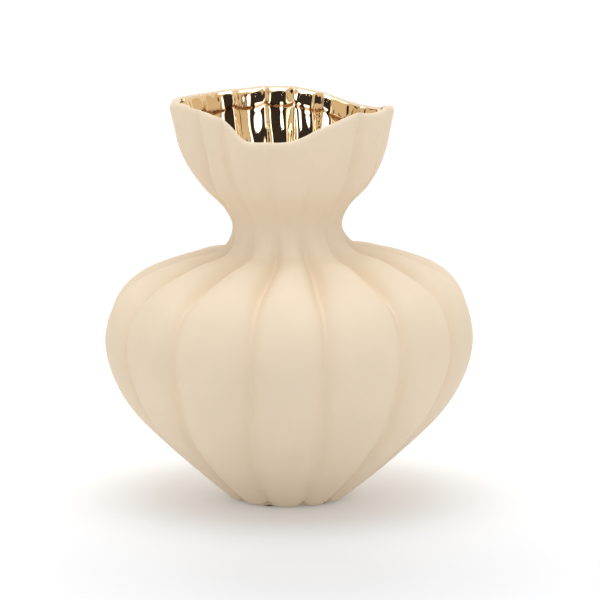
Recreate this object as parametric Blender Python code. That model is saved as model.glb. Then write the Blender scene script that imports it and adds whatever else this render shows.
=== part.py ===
"""A porcelain vase shaped like a cloth bag gathered at the neck.

Metres, +Z up. The vase stands on z = 0 with its widest part centred on the Z axis, and its lowest
stretch of lip faces -Y. Azimuth 0 is -Y and turns towards +X.

The outside is one lobed surface. A point on it has a level, which counts the stations of the profile
from the foot to the mouth, and a column, which counts round the lobes. Every wall, lining and glaze
is that same surface set in by its own depth.
"""

import math

import bmesh
import bpy

MM = 0.001

# Profile of the lobes' crests, in millimetres: radius, height, depth of the creases between lobes.
PROFILE = [
    (27.0, 0.9, 1.9),  # 0 foot, outer edge
    (31.2, 2.8, 2.3),
    (53.4, 21.6, 3.2),
    (75.6, 44.0, 4.6),
    (87.3, 63.6, 5.5),
    (91.0, 82.5, 5.6),  # 5 widest
    (85.9, 101.0, 6.2),
    (74.0, 112.6, 7.2),
    (53.5, 120.6, 7.4),  # 8 shoulder, with the deepest pleats
    (34.4, 124.6, 4.4),
    (27.2, 134.0, 1.5),  # 10 neck
    (30.5, 144.0, 1.3),
    (39.8, 154.0, 1.3),
    (46.6, 164.0, 1.3),
    (50.8, 174.0, 1.2),
    (53.0, 184.0, 1.1),
    (55.3, 194.0, 1.0),
    (57.5, 204.0, 0.9),  # 17 above the highest lip, where the curve ends
]
FOOT_LEVEL = 1
BELLY_LEVEL = 4
SHOULDER_LEVEL = 7
NECK_LEVEL = 10
BOWL_LEVEL = 14
BOWL_STEP = 10.0  # every level above the neck is this much higher than the one below

# Azimuth in degrees of each crease at the foot, belly, neck and mouth, and its share of the depth there.
CREASES = [
    (-76.0, -64.5, -77.0, -50.0, 1.9),
    (-53.0, -39.5, -40.5, -34.0, 1.5),
    (-20.0, -12.0, -11.0, -7.5, 0.5),
    (17.0, 12.0, 16.5, 17.5, 0.5),
    (46.0, 39.0, 48.5, 47.0, 2.0),
    (70.0, 64.0, 86.0, 74.0, 1.0),
    (95.0, 90.5, 110.0, 101.0, 1.3),
    (119.0, 116.0, 131.0, 128.0, 1.9),
    (143.0, 141.0, 153.0, 155.0, 1.8),
    (167.0, 167.0, 175.0, 173.0, 1.6),
    (191.0, 193.0, 197.0, 190.0, 1.7),
    (216.0, 219.0, 218.0, 210.0, 1.8),
    (240.0, 244.0, 240.0, 234.0, 1.6),
    (262.0, 269.5, 262.0, 268.0, 0.8),
]
CREASE_SHARPNESS = 2.2  # 1 makes a lobe two flat planes, and a high power a flat top with a narrow crease
COLUMNS_PER_LOBE = 4

# Height of the lip's top by azimuth in degrees: a spout-like dip in front, a lower one at the back right.
LIP_HEIGHTS = [
    (-90.0, 195.9),
    (-62.0, 196.4),
    (-52.0, 194.0),
    (-42.0, 193.6),
    (-29.0, 188.1),
    (-21.0, 181.4),
    (-10.0, 180.3),
    (4.0, 180.8),
    (13.0, 183.3),
    (22.0, 187.0),
    (40.0, 192.5),
    (56.0, 192.5),
    (70.0, 193.8),
    (90.0, 193.5),
    (112.0, 190.9),
    (130.0, 190.7),
    (146.0, 193.0),
    (160.0, 196.1),
    (180.0, 198.4),
    (205.0, 197.4),
    (235.0, 196.1),
]

# Sideways lean of the middle by level: the foot, neck and mouth sit left of the belly.
LEAN = [(0, -0.9), (3, -0.5), (5, 0.0), (7, 0.2), (8.5, 0.4), (10, -0.7), (12, -1.8), (14, -3.3), (17, -3.6)]
# Share by level that the bowl is narrower from front to back than from side to side.
FLATTENING = [(0, 0.0), (9, 0.0), (10, 0.0), (11.5, 0.08), (13, 0.155), (14.5, 0.15), (17, 0.115)]
SHOULDER_TILT = 0.024  # the right shoulder stands this much higher for each millimetre outwards

WALL = 3.2
LIP_WALL = 4.6  # the wall thickens towards the lip
PINCHED_CORNER_EXTRA = 3.6  # the lip's left corner is folded, so its wall is thicker there
PINCHED_CORNER_AZIMUTH = -88.0
PINCHED_CORNER_WIDTH = 16.0
LIP_OUTER_DROP = 3.4  # the lip rounds over this far below its top on the outside
LIP_INNER_DROP = 8.4  # and this far on the inside
LIP_ARC_STEPS = 6
BOWL_ROWS = 6
OUTER_ROWS_PER_LEVEL = 2
INSIDE_LEVELS = (1.3, 2.2, 3, 4, 5, 6, 7, 8, 8.7, 9.25)  # rows of the inside wall that the glaze covers

CONTACT_GAP = 0.3  # between any two pieces that touch on the real vase
LUSTRE = 0.5
GLAZE = 0.5
LUSTRE_LEVELS = (9.3, 10)  # rows of the inside wall that the lustre covers, below the bowl
LUSTRE_LIP_STEPS = (6, 5, 4)  # steps of the lip's arc that it covers, above the bowl

RECESS_RADIUS = 15.0
RECESS_EDGE_RADIUS = 16.5
RECESS_HEIGHT = 2.6
FLOOR_RADIUS = 25.5
FLOOR_EDGE_HEIGHT = 6.4
FLOOR_HEIGHT = 5.7

PAD_RADIUS = 3.8
PAD_THICKNESS = 0.6
PAD_CIRCLE_RADIUS = 21.6
PAD_AZIMUTHS = (-22.0, 44.0, 135.0, 250.0)  # placed by eye, so unevenly
PAD_SEGMENTS = 24


def clear_scene():
    for old in list(bpy.data.objects):
        bpy.data.objects.remove(old, do_unlink=True)


def slope_at(points, index):
    """Slope of a smooth curve through (x, value) points, from the neighbours of one of them."""
    before = points[max(index - 1, 0)]
    after = points[min(index + 1, len(points) - 1)]
    return (after[1] - before[1]) / (after[0] - before[0])


def read_curve(points, x):
    """Value at x of the smooth curve through (x, value) points in rising order."""
    index = 0
    while index < len(points) - 2 and x > points[index + 1][0]:
        index += 1
    (x0, y0), (x1, y1) = points[index], points[index + 1]
    span = x1 - x0
    t = (x - x0) / span
    start_slope = slope_at(points, index) * span
    end_slope = slope_at(points, index + 1) * span
    return (
        y0 * (1 + 2 * t) * (1 - t) ** 2
        + start_slope * t * (1 - t) ** 2
        + y1 * t * t * (3 - 2 * t)
        - end_slope * t * t * (1 - t)
    )


def ease(start, end, x):
    """0 below start, 1 above end, and a smooth rise between them."""
    t = min(max((x - start) / (end - start), 0.0), 1.0)
    return t * t * (3 - 2 * t)


def mix(low, high, share):
    return low + (high - low) * share


def closed_loop(points):
    """The (azimuth, value) points with one more at each end, so that the curve runs on round the circle."""
    first, last = points[0], points[-1]
    return [(last[0] - 360.0, last[1])] + points + [(first[0] + 360.0, first[1])]


RADIUS_CURVE = [(level, row[0]) for level, row in enumerate(PROFILE)]
HEIGHT_CURVE = [(level, row[1]) for level, row in enumerate(PROFILE)]
CREASE_CURVE = [(level, row[2]) for level, row in enumerate(PROFILE)]
LIP_CURVE = closed_loop(LIP_HEIGHTS)
COLUMNS = len(CREASES) * COLUMNS_PER_LOBE


def outward(level):
    """The profile's unit normal as (radial, upward), away from the inside of the vase."""
    step = 0.05
    run = read_curve(RADIUS_CURVE, level + step) - read_curve(RADIUS_CURVE, level - step)
    rise = read_curve(HEIGHT_CURVE, level + step) - read_curve(HEIGHT_CURVE, level - step)
    length = math.hypot(run, rise)
    return rise / length, -run / length


def crease_azimuth(index, level):
    """Azimuth in degrees of one crease. Past the last crease they start again, a turn further round."""
    turns, index = divmod(index, len(CREASES))
    foot, belly, neck, mouth, _ = CREASES[index]
    azimuth = mix(foot, belly, ease(FOOT_LEVEL, BELLY_LEVEL, level))
    azimuth = mix(azimuth, neck, ease(SHOULDER_LEVEL, NECK_LEVEL, level))
    azimuth = mix(azimuth, mouth, ease(NECK_LEVEL, BOWL_LEVEL, level))
    return azimuth + 360.0 * turns


def crease_strength(index, level):
    at_mouth = CREASES[index % len(CREASES)][-1]
    return mix(1.0, at_mouth, ease(NECK_LEVEL, BOWL_LEVEL, level))


def column_place(column, level):
    """Azimuth in degrees of a column at a level, and how far into a crease it lies, from 0 to 1."""
    lobe, step = divmod(column, COLUMNS_PER_LOBE)
    across = step / COLUMNS_PER_LOBE
    azimuth = mix(crease_azimuth(lobe, level), crease_azimuth(lobe + 1, level), across)
    from_crest = abs(2 * across - 1)
    nearest = lobe if across < 0.5 else lobe + 1
    return azimuth, crease_strength(nearest, level) * from_crest**CREASE_SHARPNESS


def surface_point(column, level, inset):
    """A point set in from the lobed surface, in millimetres."""
    azimuth, groove = column_place(column, level)
    normal_out, normal_up = outward(level)
    depth = inset + groove * read_curve(CREASE_CURVE, level)
    radius = read_curve(RADIUS_CURVE, level) - depth * normal_out
    height = read_curve(HEIGHT_CURVE, level) - depth * normal_up
    x = radius * math.sin(math.radians(azimuth))
    y = -radius * math.cos(math.radians(azimuth)) * (1 - read_curve(FLATTENING, level))
    tilt = SHOULDER_TILT * ease(4, SHOULDER_LEVEL, level) * (1 - ease(NECK_LEVEL - 1, NECK_LEVEL, level))
    return (x + read_curve(LEAN, level), y, height + tilt * x)


def level_at_height(height):
    """The bowl's level at a height. Its stations are evenly spaced, so no search is needed."""
    return NECK_LEVEL + (height - PROFILE[NECK_LEVEL][1]) / BOWL_STEP


def lip_place(column, turn):
    """Level and inset on the rounded lip, from turn 0 at the outside to turn 1 at the inside."""
    azimuth, _ = column_place(column, BOWL_LEVEL + 1)
    top = read_curve(LIP_CURVE, (azimuth + 90.0) % 360.0 - 90.0)
    drop = LIP_OUTER_DROP if turn < 0.5 else LIP_INNER_DROP
    level = level_at_height(top - drop * (1 - math.sin(math.pi * turn)))
    azimuth, _ = column_place(column, BOWL_LEVEL)
    away = (azimuth - PINCHED_CORNER_AZIMUTH + 180.0) % 360.0 - 180.0
    wall = LIP_WALL + PINCHED_CORNER_EXTRA * math.exp(-((away / PINCHED_CORNER_WIDTH) ** 2))
    return level, wall / 2 * (1 - math.cos(math.pi * turn))


def lip_ring(step, inset=0.0):
    """A ring over the lip, from step 0 at the outside to the last at the inside."""
    ring = []
    for column in range(COLUMNS):
        level, depth = lip_place(column, step / LIP_ARC_STEPS)
        ring.append(surface_point(column, level, inset + depth))
    return ring


def wall_ring(level, inset):
    return [surface_point(column, level, inset) for column in range(COLUMNS)]


def outer_bowl_ring(share):
    """A ring outside the bowl, from share 0 at the neck to share 1 at the lip."""
    ring = []
    for column in range(COLUMNS):
        lip_level, _ = lip_place(column, 0)
        ring.append(surface_point(column, mix(NECK_LEVEL, lip_level, share), 0.0))
    return ring


def inner_bowl_ring(share, inset):
    """A ring set in from the bowl's inside wall, which thickens towards the lip."""
    ring = []
    for column in range(COLUMNS):
        lip_level, lip_wall = lip_place(column, 1)
        wall = mix(WALL, lip_wall, share**4)
        ring.append(surface_point(column, mix(NECK_LEVEL, lip_level, share), inset + wall))
    return ring


def scalloped_ring(radius, height, crease_share):
    """A ring under the foot, which follows the foot's lobes by the share given."""
    ring = []
    for column in range(COLUMNS):
        azimuth, groove = column_place(column, 0)
        edge = radius - crease_share * groove * PROFILE[0][2]
        x = edge * math.sin(math.radians(azimuth)) + LEAN[0][1]
        y = -edge * math.cos(math.radians(azimuth))
        ring.append((x, y, height))
    return ring


def wall_rings(levels, inset):
    return [wall_ring(level, inset) for level in levels]


def inside_bowl_rings(inset):
    """Rings up the inside from just above the neck, to the lip's rounding."""
    return [inner_bowl_ring(row / BOWL_ROWS, inset) for row in range(1, BOWL_ROWS)]


def total_height(row):
    return sum(vertex.co.z for vertex in row)


def mesh_object(name, rings, material, start_pole=None, end_pole=None):
    """One closed body over rings of points in millimetres, from start pole to end pole.

    Without poles, the last ring joins the first. The diagonals between two rings always climb the same
    way round, so skins that are nested inside each other have matching facets and can't cross.
    """
    bm = bmesh.new()
    rows = [[bm.verts.new([MM * value for value in point]) for point in ring] for ring in rings]
    pairs = list(zip(rows, rows[1:]))
    if start_pole is None:
        pairs.append((rows[-1], rows[0]))
    for pair in pairs:
        lower, upper = sorted(pair, key=total_height)
        for column in range(COLUMNS):
            after = (column + 1) % COLUMNS
            bm.faces.new((lower[column], lower[after], upper[after]))
            bm.faces.new((lower[column], upper[after], upper[column]))
    for pole, ring in ((start_pole, rows[0]), (end_pole, rows[-1])):
        if pole is None:
            continue
        centre = bm.verts.new([MM * value for value in pole])
        for column in range(COLUMNS):
            bm.faces.new((centre, ring[column], ring[(column + 1) % COLUMNS]))
    bmesh.ops.recalc_face_normals(bm, faces=bm.faces)
    for face in bm.faces:
        face.smooth = True
    mesh = bpy.data.meshes.new(name)
    bm.to_mesh(mesh)
    bm.free()
    return place_object(name, mesh, material)


def place_object(name, mesh, material):
    mesh.materials.append(material)
    mesh.set_sharp_from_angle(angle=math.radians(50))
    piece = bpy.data.objects.new(name, mesh)
    bpy.context.scene.collection.objects.link(piece)
    return piece


def make_material(name, colour, roughness, metallic):
    material = bpy.data.materials.new(name)
    material.use_nodes = True
    shader = material.node_tree.nodes["Principled BSDF"]
    shader.inputs["Base Color"].default_value = (*colour, 1.0)
    shader.inputs["Roughness"].default_value = roughness
    shader.inputs["Metallic"].default_value = metallic
    return material


def build_porcelain_body():
    """The cast shell: underside, lobed outside, rounded lip, inside wall and inside floor."""
    foot_radius, foot_height, _ = PROFILE[0]
    rings = [
        scalloped_ring(RECESS_RADIUS, RECESS_HEIGHT, 0.0),
        scalloped_ring(RECESS_EDGE_RADIUS, foot_height, 0.0),
        scalloped_ring(foot_radius, foot_height, 1.0),
    ]
    outer_rows = NECK_LEVEL * OUTER_ROWS_PER_LEVEL
    rings += wall_rings([row / OUTER_ROWS_PER_LEVEL for row in range(1, outer_rows + 1)], 0.0)
    rings += [outer_bowl_ring(row / BOWL_ROWS) for row in range(1, BOWL_ROWS)]
    rings += [lip_ring(step) for step in range(LIP_ARC_STEPS + 1)]
    inside = [scalloped_ring(FLOOR_RADIUS, FLOOR_EDGE_HEIGHT, 0.0)]
    inside += wall_rings(INSIDE_LEVELS + LUSTRE_LEVELS, WALL)
    inside += inside_bowl_rings(0.0)
    rings += reversed(inside)
    middle = LEAN[0][1]
    material = make_material("matte_porcelain", (0.78, 0.64, 0.47), 0.72, 0.0)
    mesh_object(
        "porcelain_body",
        rings,
        material,
        start_pole=(middle, 0.0, RECESS_HEIGHT),
        end_pole=(middle, 0.0, FLOOR_HEIGHT),
    )


def build_gold_lining():
    """The lustre film, from the lip's inner rounding down through the neck."""

    def skin(inset):
        over_lip = [lip_ring(step, inset) for step in LUSTRE_LIP_STEPS]
        return wall_rings(LUSTRE_LEVELS, WALL + inset) + inside_bowl_rings(inset) + over_lip

    rings = skin(CONTACT_GAP) + skin(CONTACT_GAP + LUSTRE)[::-1]
    material = make_material("gold_lustre", (0.85, 0.58, 0.27), 0.06, 1.0)
    mesh_object("gold_lining", rings, material)


def build_interior_glaze():
    """The gloss glaze, a cup over the inside floor and wall, which ends just below the lustre."""

    def skin(inset):
        floor_edge = scalloped_ring(FLOOR_RADIUS, FLOOR_EDGE_HEIGHT + inset, 0.0)
        return [floor_edge] + wall_rings(INSIDE_LEVELS, WALL + inset)

    rings = skin(CONTACT_GAP) + skin(CONTACT_GAP + GLAZE)[::-1]
    middle = LEAN[0][1]
    material = make_material("clear_glaze", (0.80, 0.68, 0.52), 0.12, 0.0)
    mesh_object(
        "interior_glaze",
        rings,
        material,
        start_pole=(middle, 0.0, FLOOR_HEIGHT + CONTACT_GAP),
        end_pole=(middle, 0.0, FLOOR_HEIGHT + CONTACT_GAP + GLAZE),
    )


def build_foot_pads():
    """Thin round pads stuck under the foot ring."""
    material = make_material("pad_felt", (0.10, 0.075, 0.055), 0.95, 0.0)
    for number, azimuth in enumerate(PAD_AZIMUTHS, start=1):
        name = f"foot_pad_{number}"
        bm = bmesh.new()
        bmesh.ops.create_cone(
            bm,
            cap_ends=True,
            segments=PAD_SEGMENTS,
            radius1=PAD_RADIUS * MM,
            radius2=PAD_RADIUS * MM,
            depth=PAD_THICKNESS * MM,
        )
        mesh = bpy.data.meshes.new(name)
        bm.to_mesh(mesh)
        bm.free()
        mesh.shade_smooth()
        pad = place_object(name, mesh, material)
        angle = math.radians(azimuth)
        pad.location = (
            MM * (PAD_CIRCLE_RADIUS * math.sin(angle) + LEAN[0][1]),
            -MM * PAD_CIRCLE_RADIUS * math.cos(angle),
            MM * PAD_THICKNESS / 2,
        )


def main():
    clear_scene()
    build_porcelain_body()
    build_gold_lining()
    build_interior_glaze()
    build_foot_pads()


main()
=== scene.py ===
"""Looks of the gathered-cloth porcelain vase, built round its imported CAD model.

Metres, +Z up, in the CAD's own frame. The vase is one lobed surface, as in the CAD, but drawn finely: a
point on it has a level, which counts the stations of the profile from the foot to the mouth, and a
column, which counts the lobes round it. The body, the lustre and the glaze are that surface set in by
their own depths, so they nest. Profile sizes are in millimetres.
"""

import math

import bpy
import numpy as np
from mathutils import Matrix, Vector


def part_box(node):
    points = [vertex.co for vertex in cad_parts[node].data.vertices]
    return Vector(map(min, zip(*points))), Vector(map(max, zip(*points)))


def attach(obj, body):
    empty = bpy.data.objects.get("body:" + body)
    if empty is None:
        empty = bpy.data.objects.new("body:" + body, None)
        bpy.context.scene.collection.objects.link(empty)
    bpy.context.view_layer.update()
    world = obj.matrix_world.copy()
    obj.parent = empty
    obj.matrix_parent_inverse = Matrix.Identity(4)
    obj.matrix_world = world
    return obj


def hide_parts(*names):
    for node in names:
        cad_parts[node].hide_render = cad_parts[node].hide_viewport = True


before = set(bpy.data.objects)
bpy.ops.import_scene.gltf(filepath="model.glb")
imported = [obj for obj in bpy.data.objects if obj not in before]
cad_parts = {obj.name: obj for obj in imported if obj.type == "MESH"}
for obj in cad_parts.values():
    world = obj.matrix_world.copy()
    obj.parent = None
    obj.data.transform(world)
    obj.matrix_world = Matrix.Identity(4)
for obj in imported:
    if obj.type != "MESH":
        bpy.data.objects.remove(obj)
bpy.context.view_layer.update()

MM = 0.001

# Profile of the lobes' crests: radius, height, depth of the creases between lobes.
PROFILE = [
    (27.0, 0.65, 1.9),  # 0 foot, outer edge
    (31.2, 2.8, 2.3),
    (53.4, 21.6, 3.2),
    (75.6, 44.0, 4.6),
    (87.3, 63.6, 5.5),
    (91.0, 82.5, 5.6),  # 5 widest
    (85.9, 101.0, 6.2),
    (74.0, 112.6, 7.2),
    (53.5, 120.6, 7.4),  # 8 shoulder, with the deepest pleats
    (34.4, 124.6, 4.4),
    (27.2, 134.0, 1.5),  # 10 neck
    (30.5, 144.0, 1.3),
    (39.8, 154.0, 1.3),
    (46.6, 164.0, 1.3),
    (50.8, 174.0, 1.2),
    (53.0, 184.0, 1.1),
    (55.3, 194.0, 1.0),
    (57.5, 204.0, 0.9),  # 17 above the highest lip, where the curve ends
]
FOOT_LEVEL = 1
BELLY_LEVEL = 4
SHOULDER_LEVEL = 7
NECK_LEVEL = 10
BOWL_LEVEL = 14
BOWL_STEP = 10.0  # every level above the neck is this much higher than the one below

# Azimuth in degrees of each crease at the foot, belly, neck and mouth, and its share of the depth at the
# mouth. Azimuth 0 is -Y and turns towards +X.
CREASES = [
    (-76.0, -64.5, -77.0, -50.0, 1.9),
    (-53.0, -39.5, -40.5, -34.0, 1.5),
    (-20.0, -12.0, -11.0, -7.5, 0.5),
    (17.0, 12.0, 16.5, 17.5, 0.5),
    (46.0, 39.0, 48.5, 47.0, 2.0),
    (70.0, 64.0, 86.0, 74.0, 1.0),
    (95.0, 90.5, 110.0, 101.0, 1.3),
    (119.0, 116.0, 131.0, 128.0, 1.9),
    (143.0, 141.0, 153.0, 155.0, 1.8),
    (167.0, 167.0, 175.0, 173.0, 1.6),
    (191.0, 193.0, 197.0, 190.0, 1.7),
    (216.0, 219.0, 218.0, 210.0, 1.8),
    (240.0, 244.0, 240.0, 234.0, 1.6),
    (262.0, 269.5, 262.0, 268.0, 0.8),
]
LOBES = len(CREASES)

# A lobe's cross-section from its crest to a crease: a round part, and a steeper part beside the crease.
ROUND_POWER = 2.0
STEEP_POWER = 6.0
STEEP_SHARE = 0.45
# Radius of the crease's bottom by level, as a share of half a lobe: soft at the foot and above the shoulder.
CREASE_FILLET = [
    (0, 0.12),
    (2, 0.14),
    (3.5, 0.08),
    (5, 0.05),
    (6, 0.06),
    (7, 0.12),
    (8, 0.18),
    (9, 0.22),
    (10, 0.22),
    (12, 0.12),
    (17, 0.10),
]

# Height of the lip's top by azimuth in degrees: a spout-like dip in front, a lower one at the back right.
LIP_HEIGHTS = [
    (-90.0, 195.9),
    (-62.0, 196.4),
    (-52.0, 194.0),
    (-42.0, 193.6),
    (-29.0, 188.1),
    (-21.0, 181.4),
    (-10.0, 180.3),
    (4.0, 180.8),
    (13.0, 183.3),
    (22.0, 187.0),
    (40.0, 192.5),
    (56.0, 192.5),
    (70.0, 193.8),
    (90.0, 193.5),
    (112.0, 190.9),
    (130.0, 190.7),
    (146.0, 193.0),
    (160.0, 196.1),
    (180.0, 198.4),
    (205.0, 197.4),
    (235.0, 196.1),
]

# Sideways lean of the middle by level: the foot, neck and mouth sit left of the belly.
LEAN = [(0, -0.9), (3, -0.5), (5, 0.0), (7, 0.2), (8.5, 0.4), (10, -0.7), (12, -1.8), (14, -3.3), (17, -3.6)]
SHOULDER_TILT = 0.024  # the shoulder rises this much per unit of length to the right
# Share by level that the bowl is narrower from front to back than from side to side.
FLATTENING = [(0, 0.0), (9, 0.0), (10, 0.0), (11.5, 0.08), (13, 0.155), (14.5, 0.15), (17, 0.115)]

WALL = 3.2
LIP_WALL = 4.6  # the wall thickens towards the lip
PINCHED_CORNER_EXTRA = 3.6
PINCHED_CORNER_AZIMUTH = -88.0
PINCHED_CORNER_WIDTH = 16.0
LIP_OUTER_DROP = 3.4  # the lip rounds over this far below its top on the outside
LIP_INNER_DROP = 8.4  # and this far on the inside, in the middle of a lobe
LIP_SCALLOP = 2.0  # less than that at a crease
BEAD = 0.35  # levels over which the rounding's own thickness dies out below it
BEAD_SHARE = 0.45  # of the lip's extra thickness
DARK_REFLECTION_DROP = 0.16  # painted dark reflection in the gold, centred this many levels below the rounding's end
DARK_REFLECTION_WIDTH = 0.10  # and spread over about this many
RIPPLE = 0.28  # two shallow waves inside each lobe, where the cast wall pulled back from the mould
RIPPLE_IN_FRONT = 0.15  # share of that depth at the front of the bowl
OUTER_CREASE_EXTRA = 0.7  # the bowl's creases are cut this much deeper outside than inside
OUTER_CREASE_RISE = (10.5, 12.5)  # levels over which they deepen
PLEAT_DEPTH = 0.6  # a small pleat between two creases, where the neck gathers the cloth
PLEAT_WIDTH = 0.11  # as a share of the lobe
PLEAT_RISE = (8.4, 9.7)  # levels over which the pleats deepen, from the shoulder up
PLEAT_FALL = (10.3, 12.0)  # and those over which they die out in the bowl

FOOT_EDGE_HEIGHT = 0.65
RECESS_RADIUS = 15.0
RECESS_EDGE_RADIUS = 16.5
RECESS_HEIGHT = 2.6
FLOOR_RADIUS = 25.5
FLOOR_EDGE_HEIGHT = 6.4
FLOOR_HEIGHT = 5.7
FOOT_MIDDLE = (LEAN[0][1], 0.0)
INNER_END_LEVEL = 1.3  # the inside wall ends here, and the inside floor begins

SAMPLES_PER_LOBE = 24
CREASE_CROWDING = 0.11  # how far the samples crowd towards the creases
OUTER_ROWS_PER_LEVEL = 12
BOWL_ROWS = 60
LIP_ROWS = 24
INNER_ROWS = 150
LUSTRE_LIP_ROWS = 20
LUSTRE_ROWS = 100
GLAZE_ROWS = 90
FLOOR_RINGS = 8

LUSTRE_START = 0.66  # how far over the lip the lustre starts, as a share of the lip's half turn
LUSTRE_START_WOBBLE = 0.012
LUSTRE_END_LEVEL = 9.3
FILM_GAP = 0.06  # levels between the lustre's lower end and the glaze
FILM_BEHIND = 0.05  # gap between a film and the wall it coats
FILM_EDGE = 0.02  # a film's thickness at its two ends
FILM_ROUNDING_ROWS = 4.0  # rows over which it swells to its full thickness
LUSTRE_FILM = 0.16
GLAZE_FILM = 0.35
DARK_REFLECTION_ATTRIBUTE = "painted_dark_reflection"  # painted dark reflection: a band under the lip's rounding where the gold's colour is darkened to brown


def mix(low, high, share):
    return low + (high - low) * share


def ease(start, end, x):
    """0 below start, 1 above end, and a smooth rise between them."""
    t = np.clip((x - start) / (end - start), 0.0, 1.0)
    return t * t * (3 - 2 * t)


def read_curve(points, x):
    """Values at x of the smooth curve through (x, value) points in rising order."""
    places, values = np.array(points, float).T
    last = len(places) - 1
    before = np.maximum(np.arange(last + 1) - 1, 0)
    after = np.minimum(np.arange(last + 1) + 1, last)
    slopes = (values[after] - values[before]) / (places[after] - places[before])
    index = np.clip(np.searchsorted(places, x) - 1, 0, last - 1)
    span = places[index + 1] - places[index]
    t = (x - places[index]) / span
    return (
        values[index] * (1 + 2 * t) * (1 - t) ** 2
        + slopes[index] * span * t * (1 - t) ** 2
        + values[index + 1] * t * t * (3 - 2 * t)
        - slopes[index + 1] * span * t * t * (1 - t)
    )


def closed_loop(points):
    """The (azimuth, value) points with one more at each end, so that the curve runs on round the circle."""
    first, last = points[0], points[-1]
    return [(last[0] - 360.0, last[1])] + points + [(first[0] + 360.0, first[1])]


RADIUS_CURVE = [(level, row[0]) for level, row in enumerate(PROFILE)]
HEIGHT_CURVE = [(level, row[1]) for level, row in enumerate(PROFILE)]
CREASE_CURVE = [(level, row[2]) for level, row in enumerate(PROFILE)]
LIP_CURVE = closed_loop(LIP_HEIGHTS)


def lobe_samples():
    """For each column of the mesh, its lobe and its place across that lobe from 0 to 1."""
    even = np.arange(SAMPLES_PER_LOBE) / SAMPLES_PER_LOBE
    across = even - CREASE_CROWDING * np.sin(2 * math.pi * even)
    return np.repeat(np.arange(LOBES), SAMPLES_PER_LOBE), np.tile(across, LOBES)


LOBE, ACROSS = lobe_samples()


def outward(level):
    """The profile's unit normal as (radial, upward), away from the inside of the vase."""
    step = 0.05
    run = read_curve(RADIUS_CURVE, level + step) - read_curve(RADIUS_CURVE, level - step)
    rise = read_curve(HEIGHT_CURVE, level + step) - read_curve(HEIGHT_CURVE, level - step)
    length = np.hypot(run, rise)
    return rise / length, -run / length


def crease_azimuth(crease, level):
    """Azimuth in degrees of creases at levels. Past the last one they start again, a turn further round."""
    foot, belly, neck, mouth, _ = np.array(CREASES).T[:, crease % LOBES]
    azimuth = mix(foot, belly, ease(FOOT_LEVEL, BELLY_LEVEL, level))
    azimuth = mix(azimuth, neck, ease(SHOULDER_LEVEL, NECK_LEVEL, level))
    azimuth = mix(azimuth, mouth, ease(NECK_LEVEL, BOWL_LEVEL, level))
    return azimuth + 360.0 * (crease // LOBES)


def column_azimuth(level):
    """Azimuth of every column, at one level for them all or at a level for each."""
    return mix(crease_azimuth(LOBE, level), crease_azimuth(LOBE + 1, level), ACROSS)


def groove(level):
    """How far into a crease every column lies, from 0 at a lobe's crest to 1."""
    to_crease = 1 - np.abs(2 * ACROSS - 1)
    fillet = read_curve(CREASE_FILLET, level)
    rounded = np.sqrt(to_crease**2 + fillet**2) - fillet
    from_crest = 1 - rounded
    shape = mix(from_crest**ROUND_POWER, from_crest**STEEP_POWER, STEEP_SHARE)
    nearest = np.where(ACROSS < 0.5, LOBE, LOBE + 1) % LOBES
    at_mouth = np.array(CREASES)[nearest, 4]
    return shape * mix(1.0, at_mouth, ease(NECK_LEVEL, BOWL_LEVEL, level))


def ripple(level):
    """Depth in millimetres of the waves in the bowl's inside wall, which are deepest at the back."""
    sway = 0.7 * np.sin(2.2 * level + LOBE)
    waves = np.sin(4 * math.pi * ACROSS + sway)
    azimuth = np.radians(column_azimuth(BOWL_LEVEL))
    backness = (1 - np.cos(azimuth)) / 2
    uneven = (1 + 0.5 * np.sin(3 * azimuth + 1)) * mix(RIPPLE_IN_FRONT, 1.0, backness)
    return RIPPLE * waves * uneven * ease(NECK_LEVEL, BOWL_LEVEL, level)


def outside_relief(level):
    """Depth in millimetres of what only the outside shows: deeper creases in the bowl, and neck pleats."""
    creases = OUTER_CREASE_EXTRA * groove(level) * ease(*OUTER_CREASE_RISE, level)
    middle = 0.5 + 0.13 * np.sin(2.3 * LOBE)
    pleats = np.exp(-(((ACROSS - middle) / PLEAT_WIDTH) ** 2)) * (1 + 0.4 * np.sin(5 * LOBE))
    return creases + PLEAT_DEPTH * pleats * ease(*PLEAT_RISE, level) * (1 - ease(*PLEAT_FALL, level))


def surface(level, inset):
    """Points in millimetres, set in from the lobed surface. level and inset are (rows, columns) arrays."""
    normal_out, normal_up = outward(level)
    inside = np.clip(inset / WALL, 0, 1)
    depth = inset + groove(level) * read_curve(CREASE_CURVE, level)
    depth = depth + mix(outside_relief(level), ripple(level), inside)
    radius = read_curve(RADIUS_CURVE, level) - depth * normal_out
    height = read_curve(HEIGHT_CURVE, level) - depth * normal_up
    azimuth = np.radians(column_azimuth(level))
    x = radius * np.sin(azimuth)
    y = -radius * np.cos(azimuth) * (1 - read_curve(FLATTENING, level))
    tilted = ease(BELLY_LEVEL, SHOULDER_LEVEL, level) * (1 - ease(NECK_LEVEL - 1, NECK_LEVEL, level))
    height = height + SHOULDER_TILT * tilted * x
    return np.stack([x + read_curve(LEAN, level), y, height], axis=-1)


def level_at_height(height):
    """The bowl's level at a height. Its stations are evenly spaced, so no search is needed."""
    return NECK_LEVEL + (height - PROFILE[NECK_LEVEL][1]) / BOWL_STEP


def lip_height():
    """Height of the lip's top at every column."""
    azimuth = (column_azimuth(BOWL_LEVEL + 1) + 90.0) % 360.0 - 90.0
    return read_curve(LIP_CURVE, azimuth)


def lip_wall():
    """Thickness of the wall where it meets the lip, at every column."""
    away = (column_azimuth(BOWL_LEVEL) - PINCHED_CORNER_AZIMUTH + 180.0) % 360.0 - 180.0
    return LIP_WALL + PINCHED_CORNER_EXTRA * np.exp(-((away / PINCHED_CORNER_WIDTH) ** 2))


def even_rows(levels):
    """Levels that are the same for all columns, as a (rows, columns) array."""
    return np.repeat(np.array(levels, float)[:, None], len(LOBE), axis=1)


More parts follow.
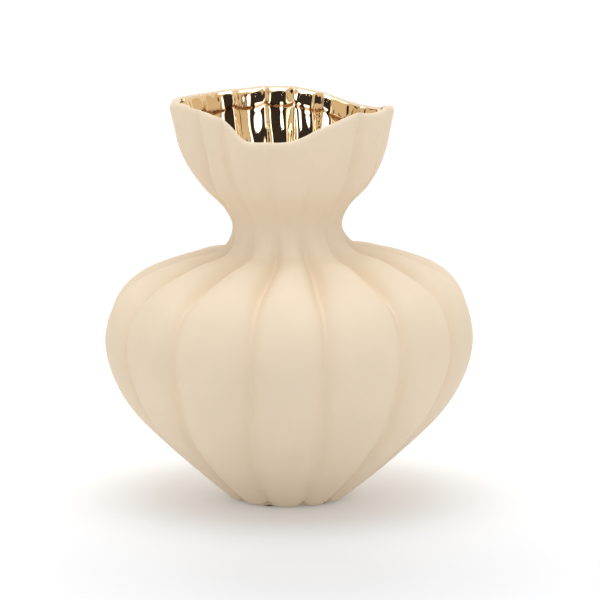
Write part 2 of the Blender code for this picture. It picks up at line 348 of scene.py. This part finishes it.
def lip_rows(turns):
    """Levels and insets over the rounded lip, from turn 0 at the outside to turn 1 at the inside."""
    turn = math.pi * np.atleast_1d(turns).reshape(len(turns), -1)
    inner_drop = LIP_INNER_DROP - LIP_SCALLOP * (2 * ACROSS - 1) ** 4
    reach = np.where(turn < math.pi / 2, LIP_OUTER_DROP, inner_drop)
    level = level_at_height(lip_height() - reach * (1 - np.sin(turn)))
    inset = lip_wall() / 2 * (1 - np.cos(turn))
    return level, inset


def inner_rows(end_level, count):
    """Levels and insets of rows down the inside wall, from the lip's rounding to a level."""
    top, thick = lip_rows([1.0])
    level = mix(top, end_level, np.arange(count + 1)[:, None] / count)
    in_bowl = np.clip((level - NECK_LEVEL) / (top - NECK_LEVEL), 0, 1)
    bead = ease(-BEAD, 0, level - top)
    return level, mix(WALL, thick, mix(in_bowl, bead, BEAD_SHARE))


def flat_ring(radius, height, crease_share=0.0):
    """A ring under the foot or on the inside floor, which follows the foot's lobes by the share given."""
    azimuth = np.radians(column_azimuth(0.0))
    edge = radius - crease_share * groove(0.0) * PROFILE[0][2]
    x = edge * np.sin(azimuth) + LEAN[0][1]
    return np.stack([x, -edge * np.cos(azimuth), np.full_like(x, height)], axis=-1)


def floor_steps():
    """The inside floor as (radius, height), from its edge towards its middle."""
    shares = np.linspace(0, 1, FLOOR_RINGS + 1)[:-1]
    return [(FLOOR_RADIUS * (1 - share), mix(FLOOR_EDGE_HEIGHT, FLOOR_HEIGHT, share)) for share in shares]


def rounded_step(start, end, count):
    """Points from start to end as (radius, height), on a quarter of an ellipse that leaves start level."""
    angle = np.linspace(0, math.pi / 2, count)
    radii = start[0] + (end[0] - start[0]) * np.sin(angle)
    heights = end[1] + (start[1] - end[1]) * np.cos(angle)
    return list(zip(radii, heights))


def mesh_object(name, rings, material, poles=()):
    """One closed body over a (rings, columns, 3) array in millimetres.

    Without poles, the last ring joins the first.
    """
    rings = np.asarray(rings)
    count, columns, _ = rings.shape
    vertices = np.concatenate([rings.reshape(-1, 3), np.reshape(poles, (-1, 3))]) * MM
    here = np.arange(columns)
    after = (here + 1) % columns
    faces = []
    last = count if len(poles) == 0 else count - 1
    for row in range(last):
        low = row * columns
        high = (row + 1) % count * columns
        faces += np.stack([low + here, low + after, high + after, high + here], axis=1).tolist()
    for number in range(len(poles)):
        edge = number * (count - 1) * columns
        pole = np.full(columns, count * columns + number)
        fan = [pole, edge + after, edge + here] if number == 0 else [pole, edge + here, edge + after]
        faces += np.stack(fan, axis=1).tolist()
    mesh = bpy.data.meshes.new(name)
    mesh.from_pydata(vertices.tolist(), [], faces)
    mesh.update()
    mesh.shade_smooth()
    mesh.materials.append(material)
    piece = bpy.data.objects.new(name, mesh)
    bpy.context.scene.collection.objects.link(piece)
    return piece


class Nodes:
    """A short way to write a node material."""

    def __init__(self, name):
        self.material = bpy.data.materials.new(name)
        self.material.use_nodes = True
        self.tree = self.material.node_tree
        self.shader = self.tree.nodes["Principled BSDF"]
        self.output = self.tree.nodes["Material Output"]
        coordinates = self.tree.nodes.new("ShaderNodeTexCoord")
        self.place = coordinates.outputs["Object"]

    def link(self, source, target):
        self.tree.links.new(source, target)

    def noise(self, size, detail=3.0, roughness=0.55, stretch=None):
        """Noise with features of about the size given, in metres, as a factor from 0 to 1."""
        node = self.tree.nodes.new("ShaderNodeTexNoise")
        node.inputs["Scale"].default_value = 1.0 / size
        node.inputs["Detail"].default_value = detail
        node.inputs["Roughness"].default_value = roughness
        place = self.place
        if stretch is not None:
            mapping = self.tree.nodes.new("ShaderNodeMapping")
            mapping.inputs["Scale"].default_value = stretch
            self.link(place, mapping.inputs["Vector"])
            place = mapping.outputs["Vector"]
        self.link(place, node.inputs["Vector"])
        return node.outputs["Fac"]

    def ramp(self, factor, stops):
        """A colour ramp over a factor. stops are (place, colour) with linear RGB."""
        node = self.tree.nodes.new("ShaderNodeValToRGB")
        elements = node.color_ramp.elements
        while len(elements) < len(stops):
            elements.new(0.5)
        for element, (place, colour) in zip(elements, stops):
            element.position = place
            element.color = (*colour, 1.0)
        self.link(factor, node.inputs["Fac"])
        return node.outputs["Color"]

    def range(self, factor, low, high, start=0.3, end=0.7):
        """A factor mapped from its usual spread to the range from low to high."""
        node = self.tree.nodes.new("ShaderNodeMapRange")
        node.inputs["From Min"].default_value = start
        node.inputs["From Max"].default_value = end
        node.inputs["To Min"].default_value = low
        node.inputs["To Max"].default_value = high
        self.link(factor, node.inputs["Value"])
        return node.outputs["Result"]

    def multiply(self, colour, tint, factor):
        """The colour, darkened towards tint where factor is 1."""
        node = self.tree.nodes.new("ShaderNodeMix")
        node.data_type = "RGBA"
        node.blend_type = "MULTIPLY"
        self.link(factor, node.inputs["Factor"])
        # The node has one A, B and Result for each data type, and these are the colour ones.
        self.link(colour, node.inputs[6])
        node.inputs[7].default_value = (*tint, 1.0)
        return node.outputs[2]

    def bump(self, height, depth, before=None):
        """A bump of the depth given, in metres, over an earlier one."""
        node = self.tree.nodes.new("ShaderNodeBump")
        node.inputs["Distance"].default_value = depth
        self.link(height, node.inputs["Height"])
        if before is not None:
            self.link(before, node.inputs["Normal"])
        return node.outputs["Normal"]

    def set(self, name, value):
        self.shader.inputs[name].default_value = value

    def feed(self, name, source):
        self.link(source, self.shader.inputs[name])


def bisque_material():
    """Matt cream porcelain: a fine grain, faint clouds of tone and a soft unevenness."""
    nodes = Nodes("matte_bisque")
    clouds = nodes.noise(0.035, detail=2.0)
    colour = nodes.ramp(clouds, [(0.3, (0.768, 0.638, 0.477)), (0.7, (0.803, 0.668, 0.501))])
    grain = nodes.noise(0.0011, detail=4.0, roughness=0.7)
    speckle = nodes.range(grain, 0.0, 0.35, start=0.62, end=0.75)
    colour = nodes.multiply(colour, (0.86, 0.80, 0.72), speckle)
    nodes.feed("Base Color", colour)
    nodes.feed("Roughness", nodes.range(nodes.noise(0.006), 0.62, 0.78))
    nodes.set("Specular IOR Level", 0.35)
    normal = nodes.bump(nodes.noise(0.012, detail=2.0), 0.00025)
    nodes.feed("Normal", nodes.bump(grain, 0.00004, before=normal))
    return nodes.material


def lustre_material():
    """Bright gold lustre: a mirror, as uneven as a hand-painted film, with painted dark reflection: brown in
    a band under the lip's rounding.
    """
    nodes = Nodes("gold_lustre")
    clouds = nodes.noise(0.02, detail=2.0)
    colour = nodes.ramp(clouds, [(0.3, (0.93, 0.75, 0.49)), (0.7, (0.97, 0.81, 0.56))])
    # Painted dark reflection: the gold's colour goes brown where this attribute is 1.
    painted_dark_reflection = nodes.tree.nodes.new("ShaderNodeAttribute")
    painted_dark_reflection.attribute_name = DARK_REFLECTION_ATTRIBUTE
    nodes.feed("Base Color", nodes.multiply(colour, (0.30, 0.17, 0.12), painted_dark_reflection.outputs["Fac"]))
    nodes.set("Metallic", 1.0)
    nodes.feed("Roughness", nodes.range(nodes.noise(0.004, detail=4.0), 0.03, 0.08))
    nodes.feed("Normal", nodes.bump(nodes.noise(0.012, detail=1.0), 0.00008))
    return nodes.material


def glaze_material():
    """Clear gloss glaze over the cream body, with the ripple that it sets in."""
    nodes = Nodes("clear_glaze")
    clouds = nodes.noise(0.03, detail=3.0)
    nodes.feed("Base Color", nodes.ramp(clouds, [(0.3, (0.70, 0.55, 0.38)), (0.7, (0.77, 0.62, 0.45))]))
    nodes.feed("Roughness", nodes.range(nodes.noise(0.005), 0.08, 0.16))
    nodes.set("Coat Weight", 0.8)
    nodes.set("Coat Roughness", 0.05)
    nodes.feed("Normal", nodes.bump(nodes.noise(0.008, detail=2.0), 0.0002))
    return nodes.material


def felt_material():
    """Brown pressed felt, with matted fibres."""
    nodes = Nodes("pad_felt")
    fibres = nodes.noise(0.0006, detail=6.0, roughness=0.75, stretch=(1.0, 2.5, 1.0))
    nodes.feed("Base Color", nodes.ramp(fibres, [(0.3, (0.035, 0.022, 0.014)), (0.7, (0.10, 0.07, 0.045))]))
    nodes.set("Roughness", 0.95)
    nodes.set("Sheen Weight", 0.4)
    nodes.feed("Normal", nodes.bump(fibres, 0.0002))
    return nodes.material


def floor_material():
    """A white floor with a barely visible tooth, with painted shade: greyer and a little bluish in a patch
    just in front of the vase. It also glows faintly, a painted fill light from below.
    """
    nodes = Nodes("white_floor")
    # Painted shade: the floor is greyest at this point in front of the vase and whiter away from it.
    distance = nodes.tree.nodes.new("ShaderNodeVectorMath")
    distance.operation = "DISTANCE"
    distance.inputs[1].default_value = (0.01, -0.16, 0.0)
    nodes.link(nodes.place, distance.inputs[0])
    away_from_painted_shade = nodes.range(distance.outputs["Value"], 0.0, 1.0, start=0.03, end=0.24)
    tones = [(0.0, (0.65, 0.655, 0.67)), (0.5, (0.78, 0.795, 0.82)), (1.0, (0.89, 0.895, 0.91))]
    nodes.feed("Base Color", nodes.ramp(away_from_painted_shade, tones))
    # Painted fill light: a faint glow that brightens the vase's foot and the floor's shade.
    nodes.set("Emission Color", (1.0, 1.0, 1.0, 1.0))
    nodes.set("Emission Strength", 0.13)
    nodes.set("Roughness", 0.7)
    nodes.set("Specular IOR Level", 0.2)
    nodes.feed("Normal", nodes.bump(nodes.noise(0.002), 0.00005))
    return nodes.material


def build_body():
    """The cast shell: underside, lobed outside, rounded lip, inside wall and inside floor."""
    rings = [flat_ring(radius, RECESS_HEIGHT) for radius in np.linspace(4.0, RECESS_RADIUS, 6)]
    step = rounded_step((RECESS_RADIUS, RECESS_HEIGHT), (RECESS_EDGE_RADIUS, FOOT_EDGE_HEIGHT), 6)
    rings += [flat_ring(radius, height) for radius, height in step[1:]]
    for share in np.linspace(0, 1, 7)[1:]:
        rings.append(flat_ring(mix(RECESS_EDGE_RADIUS, PROFILE[0][0], share), FOOT_EDGE_HEIGHT, share))
    outer = even_rows(np.arange(1, NECK_LEVEL * OUTER_ROWS_PER_LEVEL + 1) / OUTER_ROWS_PER_LEVEL)
    rings += list(surface(outer, np.zeros_like(outer)))
    top, _ = lip_rows([0.0])
    bowl = mix(NECK_LEVEL, top, np.arange(1, BOWL_ROWS)[:, None] / BOWL_ROWS)
    rings += list(surface(bowl, np.zeros_like(bowl)))
    rings += list(surface(*lip_rows(np.arange(LIP_ROWS) / LIP_ROWS)))
    rings += list(surface(*inner_rows(INNER_END_LEVEL, INNER_ROWS)))
    rings += [flat_ring(radius, height) for radius, height in floor_steps()]
    poles = [[*FOOT_MIDDLE, RECESS_HEIGHT], [*FOOT_MIDDLE, FLOOR_HEIGHT]]
    return mesh_object("porcelain_shell", rings, bisque_material(), poles)


def film_rings(level, inset, thickness):
    """Rings of a thin closed film over the inside wall: along its back, then back along its front."""
    rows = len(level)
    rim = np.minimum(np.arange(rows), np.arange(rows)[::-1]) / FILM_ROUNDING_ROWS
    swell = np.sqrt(1 - (1 - np.clip(rim, 0, 1)) ** 2)[:, None]
    back = surface(level, inset + FILM_BEHIND)
    front = surface(level, inset + FILM_BEHIND + FILM_EDGE + thickness * swell)
    return list(back) + list(front[::-1])


def build_lustre():
    """The gold film, from just under the top of the lip down through the neck."""
    azimuth = np.radians(column_azimuth(BOWL_LEVEL))
    start = LUSTRE_START + LUSTRE_START_WOBBLE * np.sin(7 * azimuth) * np.sin(3 * LOBE + 6 * ACROSS)
    over = lip_rows(mix(start, 1.0, np.arange(LUSTRE_LIP_ROWS)[:, None] / LUSTRE_LIP_ROWS))
    down = inner_rows(LUSTRE_END_LEVEL, LUSTRE_ROWS)
    level, inset = (np.concatenate(pair) for pair in zip(over, down))
    film = mesh_object("gold_lustre_film", film_rings(level, inset, LUSTRE_FILM), lustre_material())
    lip_end = down[0][0]
    # Painted dark reflection: a band just under the lip's rounding, which the material darkens to brown.
    painted_dark_reflection = np.exp(-(((level - lip_end + DARK_REFLECTION_DROP) / DARK_REFLECTION_WIDTH) ** 2))
    values = np.concatenate([painted_dark_reflection, painted_dark_reflection[::-1]]).ravel()
    film.data.attributes.new(DARK_REFLECTION_ATTRIBUTE, "FLOAT", "POINT").data.foreach_set("value", values)
    return film


def build_glaze():
    """The clear glaze inside the belly, a cup over the floor and wall that ends just below the lustre."""
    levels = even_rows(np.linspace(LUSTRE_END_LEVEL - FILM_GAP, INNER_END_LEVEL, GLAZE_ROWS))
    back = list(surface(levels, np.full_like(levels, WALL + FILM_BEHIND)))
    front = list(surface(levels, np.full_like(levels, WALL + FILM_BEHIND + GLAZE_FILM)))
    back += [flat_ring(radius, height + FILM_BEHIND) for radius, height in floor_steps()]
    front += [flat_ring(radius, height + FILM_BEHIND + GLAZE_FILM) for radius, height in floor_steps()]
    low = FLOOR_HEIGHT + FILM_BEHIND
    poles = [[*FOOT_MIDDLE, low + GLAZE_FILM], [*FOOT_MIDDLE, low]]
    return mesh_object("clear_glaze_coat", front[::-1] + back, glaze_material(), poles)


def build_pad(node, material):
    """A felt disc with a rounded, slightly uneven edge, in the place of its CAD node."""
    low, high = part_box(node)
    middle = (low + high) / 2
    radius = (high.x - low.x) / 2
    height = high.z - low.z
    segments = 64
    angles = np.arange(segments) * 2 * math.pi / segments
    uneven = 1 + 0.012 * np.sin(5 * angles + 40 * middle.x / radius) + 0.008 * np.sin(13 * angles)
    largest = 1.02
    outline = [(0.35, 0.0), (0.7, 0.0), (0.93, 0.0), (0.985, 0.12), (1.0, 0.35), (1.0, 0.65)]
    outline += [(0.985, 0.88), (0.93, 1.0), (0.7, 1.0), (0.35, 1.0)]
    rings = []
    for share, rise in outline:
        spread = radius * share * mix(1.0, uneven, share) / largest
        ring = [middle.x + spread * np.cos(angles), middle.y + spread * np.sin(angles)]
        rings.append(np.stack(ring + [np.full(segments, low.z + rise * height)], axis=-1) / MM)
    poles = [[middle.x / MM, middle.y / MM, low.z / MM], [middle.x / MM, middle.y / MM, high.z / MM]]
    return mesh_object(node.replace("foot_pad", "felt_pad"), rings, material, poles)


def build_floor():
    """The white table. It ends behind the vase, where it would meet the white backdrop."""
    near, far, side = -3.0, 0.767, 3.0
    corners = [(-side, near, 0), (side, near, 0), (side, far, 0), (-side, far, 0)]
    mesh = bpy.data.meshes.new("floor")
    mesh.from_pydata(corners, [], [(0, 1, 2, 3)])
    mesh.materials.append(floor_material())
    plane = bpy.data.objects.new("floor", mesh)
    bpy.context.scene.collection.objects.link(plane)


def glow_material(name, colour):
    material = bpy.data.materials.new(name)
    material.use_nodes = True
    tree = material.node_tree
    tree.nodes.remove(tree.nodes["Principled BSDF"])
    glow = tree.nodes.new("ShaderNodeEmission")
    glow.inputs["Color"].default_value = (*colour, 1.0)
    tree.links.new(glow.outputs["Emission"], tree.nodes["Material Output"].inputs["Surface"])
    return material


def for_reflections_only(card):
    card.visible_camera = False
    card.visible_diffuse = False
    card.visible_shadow = False
    card.visible_transmission = False
    card.visible_volume_scatter = False


def on_dome(azimuth, elevation, radius):
    """A point on the room's dome, azimuth 0 being -Y and turning towards +X, in degrees."""
    turn = math.radians(azimuth)
    rise = math.radians(elevation)
    flat = radius * math.cos(rise)
    return (flat * math.sin(turn), -flat * math.cos(turn), radius * math.sin(rise))


def dome_patch(name, azimuths, elevations, radius, material, corner=0.0):
    """A piece of the dome between two azimuths and two elevations, its top rounded over corner degrees."""
    columns = max(2, int((azimuths[1] - azimuths[0]) / 3))
    rows = max(8, int((elevations[1] - elevations[0]) / 1.5))
    points = []
    for row in range(rows + 1):
        elevation = mix(elevations[0], elevations[1], row / rows)
        width = 1.0
        if corner > 0:
            past_corner = max(0.0, 1 - (elevations[1] - elevation) / corner)
            width = math.sqrt(1 - past_corner**2)
        for column in range(columns + 1):
            across = 0.5 + (column / columns - 0.5) * width
            points.append(on_dome(mix(azimuths[0], azimuths[1], across), elevation, radius))
    faces = []
    for row in range(rows):
        for column in range(columns):
            first = row * (columns + 1) + column
            faces.append((first, first + 1, first + columns + 2, first + columns + 1))
    mesh = bpy.data.meshes.new(name)
    mesh.from_pydata(points, [], faces)
    mesh.materials.append(material)
    patch = bpy.data.objects.new(name, mesh)
    bpy.context.scene.collection.objects.link(patch)
    for_reflections_only(patch)


ROOM_TONES = {
    "black": (0.034, 0.026, 0.024),
    "brown": (0.16, 0.105, 0.065),
    "tan": (0.70, 0.55, 0.38),
    "sand": (0.86, 0.76, 0.62),
    "cream": (1.6, 1.55, 1.45),
    "white": (2.6, 2.6, 2.7),
}
# What the gold mirrors, drawn on a dome round the vase: tone, azimuths, elevations. The later lie in front.
ROOM = [
    ("white", (-30, 72), (52, 84)),
    ("black", (-34, 34), (-8, 51)),
    ("white", (-15, 10), (-8, 27)),
    ("white", (36, 47), (-8, 44)),
    ("black", (47, 49), (-8, 46)),
    ("cream", (-43, -36), (-8, 34)),
    ("black", (-45, -43), (-8, 40)),
    ("brown", (57, 62), (-8, 30)),
    ("brown", (66, 79), (31, 42)),
    ("brown", (-62, -56), (-8, 26)),
    ("black", (-84, -64), (26, 48)),
    ("sand", (96, 140), (-8, 88)),
    ("brown", (110, 115), (-8, 30)),
    ("cream", (150, 166), (-8, 60)),
    ("black", (172, 188), (-8, 56)),
    ("cream", (192, 208), (-8, 60)),
    ("brown", (222, 232), (-8, 60)),
]
ROOM_LAMPS = [(-3, 19), (5, 27), (2, 40), (-5, 46), (179, 30)]
LAMP_SIZE = 1.8
ROOM_CORNER = 7.0  # degrees of elevation over which a card's top is rounded


def build_room():
    """The studio that shows only in reflections."""
    tones = {tone: glow_material("room_" + tone, colour) for tone, colour in ROOM_TONES.items()}
    dome_patch("room_walls", (-180, 180), (-40, 90), 2.7, tones["tan"])
    for number, (tone, azimuths, elevations) in enumerate(ROOM, start=1):
        radius = 2.65 - 0.005 * number
        dome_patch(f"room_card_{number}", azimuths, elevations, radius, tones[tone], ROOM_CORNER)
    for number, (azimuth, elevation) in enumerate(ROOM_LAMPS, start=1):
        across = (azimuth, azimuth + LAMP_SIZE)
        dome_patch(f"room_lamp_{number}", across, (elevation, elevation + LAMP_SIZE), 2.5, tones["white"])


WORLD_LIGHT = 0.82  # strength of the world as a light
WORLD_SEEN = 1.05  # and as the backdrop that the camera sees
CAMERA_LENS = 204.5
CAMERA_PLACE = (0.0053, -1.650, 0.369)
CAMERA_DOWN = 9.32  # degrees below level


def add_light():
    light = bpy.data.lights.new("overhead_softbox", "AREA")
    light.shape = "SQUARE"
    light.size = 1.2
    light.energy = 9.0
    lamp = bpy.data.objects.new("overhead_softbox", light)
    lamp.location = (-0.03, -0.14, 1.55)
    lamp.rotation_euler = (math.radians(5), math.radians(-1), 0)
    bpy.context.scene.collection.objects.link(lamp)


def add_world():
    """White all round: its light is a little under the white that the camera sees behind the vase."""
    world = bpy.data.worlds.new("white_studio")
    world.use_nodes = True
    tree = world.node_tree
    background = tree.nodes["Background"]
    background.inputs["Color"].default_value = (1.0, 1.0, 1.0, 1.0)
    strength = tree.nodes.new("ShaderNodeMapRange")
    strength.inputs["To Min"].default_value = WORLD_LIGHT
    strength.inputs["To Max"].default_value = WORLD_SEEN
    path = tree.nodes.new("ShaderNodeLightPath")
    tree.links.new(path.outputs["Is Camera Ray"], strength.inputs["Value"])
    tree.links.new(strength.outputs["Result"], background.inputs["Strength"])
    bpy.context.scene.world = world


def add_camera():
    camera = bpy.data.cameras.new("camera")
    camera.sensor_width = 36.0
    camera.lens = CAMERA_LENS
    view = bpy.data.objects.new("camera", camera)
    view.location = CAMERA_PLACE
    view.rotation_euler = (math.radians(90 - CAMERA_DOWN), 0, 0)
    bpy.context.scene.collection.objects.link(view)
    bpy.context.scene.camera = view


def place(piece, node, slot):
    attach(piece, "root")
    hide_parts(node)


def main():
    place(build_body(), "porcelain_body", "bisque")
    place(build_lustre(), "gold_lining", "gold")
    place(build_glaze(), "interior_glaze", "glaze")
    felt = felt_material()
    for node in sorted(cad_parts):
        if node.startswith("foot_pad"):
            place(build_pad(node, felt), node, "pads")
    build_floor()
    build_room()
    add_light()
    add_world()
    add_camera()
    bpy.context.scene.view_settings.view_transform = "Standard"


main()
